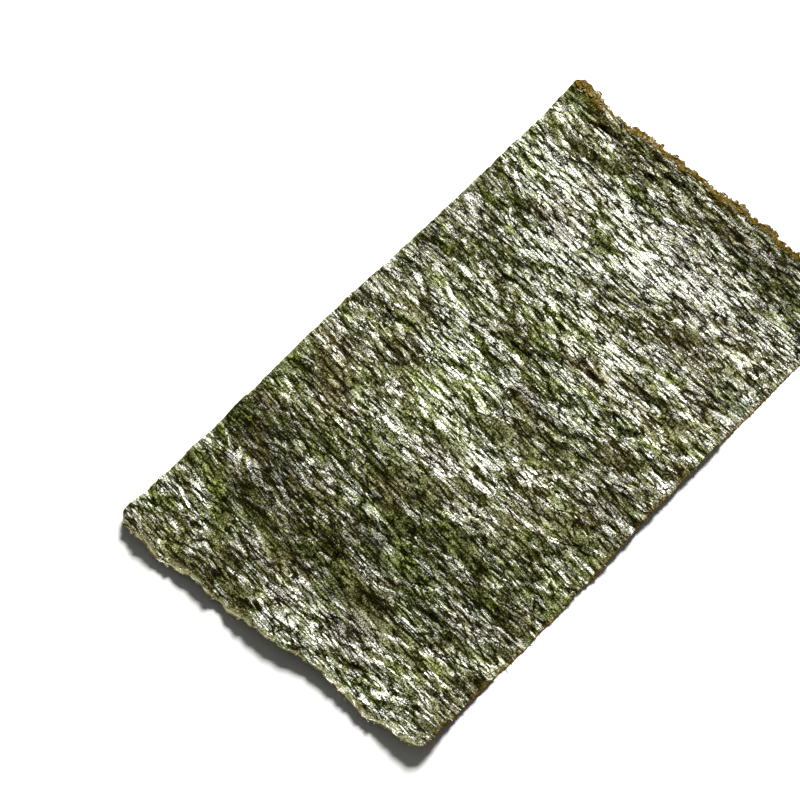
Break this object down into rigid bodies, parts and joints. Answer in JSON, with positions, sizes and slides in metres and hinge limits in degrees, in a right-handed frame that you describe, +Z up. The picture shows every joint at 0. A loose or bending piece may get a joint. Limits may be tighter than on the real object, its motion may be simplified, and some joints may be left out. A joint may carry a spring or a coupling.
{
  "type": "half nori sheet",
  "caption": "Half sheet of dried laver, thin and slightly buckled, with mat ridges, ragged natural edges and one knife-cut long edge.",
  "frame": {"origin": "middle of the sheet's box, on the surface that it lies on", "axes": "+X along the length towards the more ragged short edge, +Y across it towards the knife cut, +Z up"},
  "size_m": [0.1936, 0.107, 0.0043],
  "materials": {
    "nori": "crinkled satin to gloss, dark olive green with amber thin edges"
  },
  "bodies": {
    "root": {"nori_sheet": "nori"}
  },
  "joints": []
}
